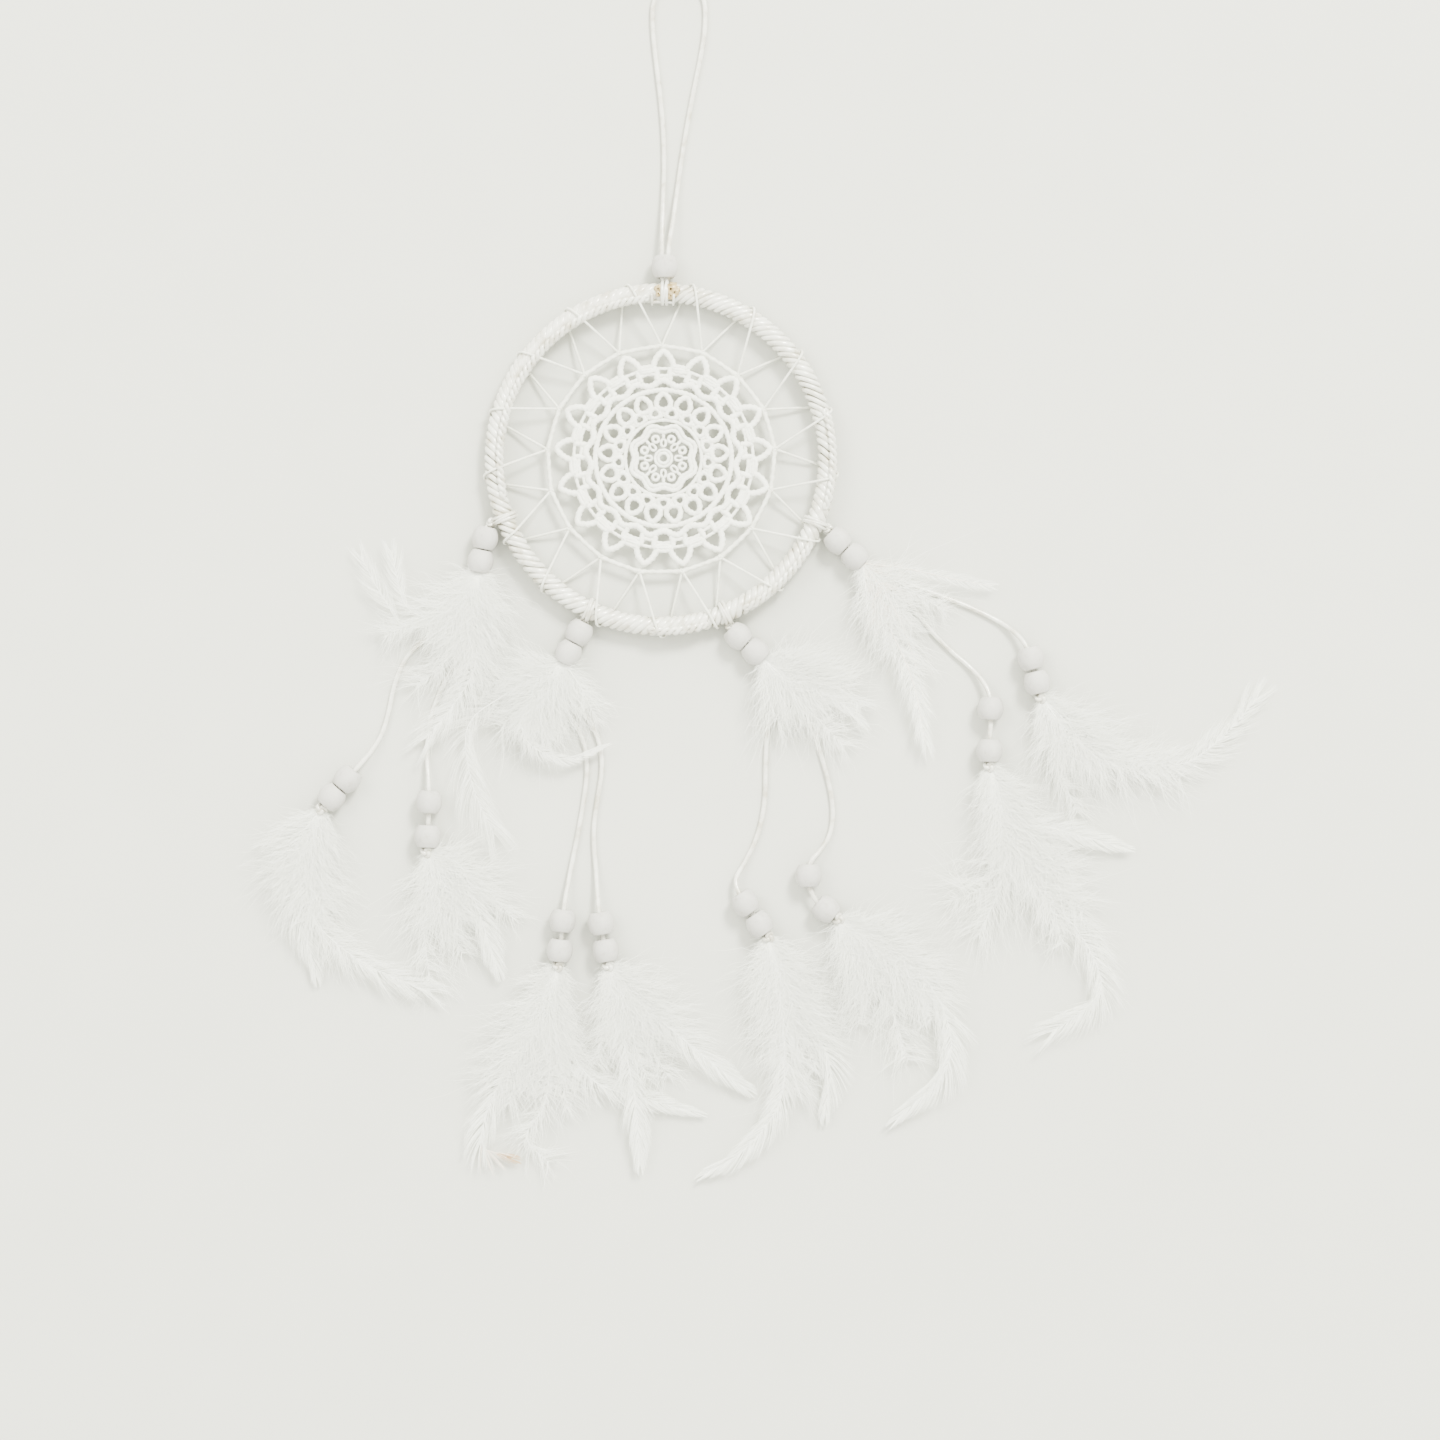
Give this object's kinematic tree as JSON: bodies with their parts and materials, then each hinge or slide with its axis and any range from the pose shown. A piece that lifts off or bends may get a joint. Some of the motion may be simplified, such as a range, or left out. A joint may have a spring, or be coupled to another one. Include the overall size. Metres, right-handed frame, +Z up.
{
  "type": "dream catcher",
  "caption": "Wrapped ring with a thread web and a crocheted doily, a hanging loop, and beaded cords with feathers, laid flat.",
  "frame": {"origin": "the ring's centre, on the surface that it lies on", "axes": "+Z up out of that surface, +Y from the ring's centre to the hanging loop, +X to the right seen from above"},
  "size_m": [0.3019, 0.3688, 0.009],
  "materials": {
    "ring_wire": "plain wire",
    "satin_wrap": "satin",
    "glue": "dried glue",
    "web_thread": "twisted thread",
    "crochet": "matt cotton",
    "painted_wood": "matt paint",
    "satin_cord": "satin",
    "feather": "down"
  },
  "bodies": {
    "ring": {"hoop_core": "ring_wire", "hoop_wrap": "satin_wrap", "glue_dab": "glue", "web_ring": "web_thread", "web_thread": "web_thread", "doily": "crochet"},
    "hanger": {"hanger_tie": "satin_cord", "hanger_cord": "satin_cord"},
    "hanger_slider": {"hanger_bead": "painted_wood"},
    "left_pendant": {"left_tie": "satin_cord", "left_upper_bead": "painted_wood", "left_lower_bead": "painted_wood", "left_feathers": "feather"},
    "lower_left_pendant": {"lower_left_tie": "satin_cord", "lower_left_upper_bead": "painted_wood", "lower_left_lower_bead": "painted_wood", "lower_left_feathers": "feather"},
    "lower_right_pendant": {"lower_right_tie": "satin_cord", "lower_right_upper_bead": "painted_wood", "lower_right_lower_bead": "painted_wood", "lower_right_feathers": "feather"},
    "right_pendant": {"right_tie": "satin_cord", "right_upper_bead": "painted_wood", "right_lower_bead": "painted_wood", "right_feathers": "feather"},
    "left_outer_strand": {"left_outer_cord": "satin_cord", "left_outer_end_bead": "painted_wood", "left_outer_feathers": "feather"},
    "left_outer_bead": {"left_outer_slider": "painted_wood"},
    "left_inner_strand": {"left_inner_cord": "satin_cord", "left_inner_end_bead": "painted_wood", "left_inner_feathers": "feather"},
    "left_inner_bead": {"left_inner_slider": "painted_wood"},
    "lower_left_outer_strand": {"lower_left_outer_cord": "satin_cord", "lower_left_outer_end_bead": "painted_wood", "lower_left_outer_feathers": "feather"},
    "lower_left_outer_bead": {"lower_left_outer_slider": "painted_wood"},
    "lower_left_inner_strand": {"lower_left_inner_cord": "satin_cord", "lower_left_inner_end_bead": "painted_wood", "lower_left_inner_feathers": "feather"},
    "lower_left_inner_bead": {"lower_left_inner_slider": "painted_wood"},
    "lower_right_inner_strand": {"lower_right_inner_cord": "satin_cord", "lower_right_inner_end_bead": "painted_wood", "lower_right_inner_feathers": "feather"},
    "lower_right_inner_bead": {"lower_right_inner_slider": "painted_wood"},
    "lower_right_outer_strand": {"lower_right_outer_cord": "satin_cord", "lower_right_outer_end_bead": "painted_wood", "lower_right_outer_feathers": "feather"},
    "lower_right_outer_bead": {"lower_right_outer_slider": "painted_wood"},
    "right_inner_strand": {"right_inner_cord": "satin_cord", "right_inner_end_bead": "painted_wood", "right_inner_feathers": "feather"},
    "right_inner_bead": {"right_inner_slider": "painted_wood"},
    "right_outer_strand": {"right_outer_cord": "satin_cord", "right_outer_end_bead": "painted_wood", "right_outer_feathers": "feather"},
    "right_outer_bead": {"right_outer_slider": "painted_wood"}
  },
  "joints": [
    {"name": "hanger_lift", "type": "hinge", "parent": "ring", "child": "hanger", "pos_m": [0.00118, 0.05189, 0.00415], "axis": [0.9997, -0.0227, 0], "range_deg": [0, 110]},
    {"name": "hanger_bead_slide", "type": "slide", "parent": "hanger", "child": "hanger_slider", "axis": [0, 1, 0], "range_m": [0, 0.0015]},
    {"name": "left_lift", "type": "hinge", "parent": "ring", "child": "left_pendant", "pos_m": [-0.04861, -0.01818, 0.00415], "axis": [-0.3502, 0.9367, 0], "range_deg": [0, 75]},
    {"name": "lower_left_lift", "type": "hinge", "parent": "ring", "child": "lower_left_pendant", "pos_m": [-0.02226, -0.04688, 0.00415], "axis": [0.9033, -0.4289, 0], "range_deg": [-75, 0]},
    {"name": "lower_right_lift", "type": "hinge", "parent": "ring", "child": "lower_right_pendant", "pos_m": [0.01994, -0.04791, 0.00415], "axis": [-0.9232, -0.3843, 0], "range_deg": [0, 75]},
    {"name": "right_lift", "type": "hinge", "parent": "ring", "child": "right_pendant", "pos_m": [0.04798, -0.01978, 0.00415], "axis": [0.3811, 0.9245, 0], "range_deg": [-75, 0]},
    {"name": "left_outer_swing", "type": "hinge", "parent": "left_pendant", "child": "left_outer_strand", "pos_m": [-0.0578, -0.0351, 0.00415], "axis": [0, 0, 1], "range_deg": [-16, 2]},
    {"name": "left_outer_bead_slide", "type": "slide", "parent": "left_outer_strand", "child": "left_outer_bead", "axis": [-0.6587, -0.7524, 0], "range_m": [-0.0035, 0.0001]},
    {"name": "left_inner_swing", "type": "hinge", "parent": "left_pendant", "child": "left_inner_strand", "pos_m": [-0.0561, -0.0354, 0.00415], "axis": [0, 0, 1], "range_deg": [-8, 2]},
    {"name": "left_inner_bead_slide", "type": "slide", "parent": "left_inner_strand", "child": "left_inner_bead", "axis": [-0.0471, -0.9989, 0], "range_m": [-0.0035, 0.0034]},
    {"name": "lower_left_outer_swing", "type": "hinge", "parent": "lower_left_pendant", "child": "lower_left_outer_strand", "pos_m": [-0.0313, -0.0631, 0.00415], "axis": [0, 0, 1], "range_deg": [-5, 2]},
    {"name": "lower_left_outer_bead_slide", "type": "slide", "parent": "lower_left_outer_strand", "child": "lower_left_outer_bead", "axis": [-0.0976, -0.9952, 0], "range_m": [-0.0035, 0.0019]},
    {"name": "lower_left_inner_swing", "type": "hinge", "parent": "lower_left_pendant", "child": "lower_left_inner_strand", "pos_m": [-0.0298, -0.0639, 0.00415], "axis": [0, 0, 1], "range_deg": [-2, 5]},
    {"name": "lower_left_inner_bead_slide", "type": "slide", "parent": "lower_left_inner_strand", "child": "lower_left_inner_bead", "axis": [0.1754, -0.9845, 0], "range_m": [-0.0035, 0.0012]},
    {"name": "lower_right_inner_swing", "type": "hinge", "parent": "lower_right_pendant", "child": "lower_right_inner_strand", "pos_m": [0.0316, -0.0629, 0.00415], "axis": [0, 0, 1], "range_deg": [-7, 2]},
    {"name": "lower_right_inner_bead_slide", "type": "slide", "parent": "lower_right_inner_strand", "child": "lower_right_inner_bead", "axis": [0.5592, -0.829, 0], "range_m": [-0.0015, 0.0005]},
    {"name": "lower_right_outer_swing", "type": "hinge", "parent": "lower_right_pendant", "child": "lower_right_outer_strand", "pos_m": [0.0328, -0.0617, 0.00415], "axis": [0, 0, 1], "range_deg": [-3, 7]},
    {"name": "lower_right_outer_bead_slide", "type": "slide", "parent": "lower_right_outer_strand", "child": "lower_right_outer_bead", "axis": [0, -1, 0], "range_m": [-0.0005, 0.0015]},
    {"name": "right_inner_swing", "type": "hinge", "parent": "right_pendant", "child": "right_inner_strand", "pos_m": [0.0625, -0.0334, 0.00415], "axis": [0, 0, 1], "range_deg": [-8, 2]},
    {"name": "right_inner_bead_slide", "type": "slide", "parent": "right_inner_strand", "child": "right_inner_bead", "axis": [-0.0175, -0.9998, 0], "range_m": [-0.001, 0.0057]},
    {"name": "right_outer_swing", "type": "hinge", "parent": "right_pendant", "child": "right_outer_strand", "pos_m": [0.0636, -0.0321, 0.00415], "axis": [0, 0, 1], "range_deg": [-2, 18]},
    {"name": "right_outer_bead_slide", "type": "slide", "parent": "right_outer_strand", "child": "right_outer_bead", "axis": [0.2419, -0.9703, 0], "range_m": [-0.002, 0.0004]}
  ]
}
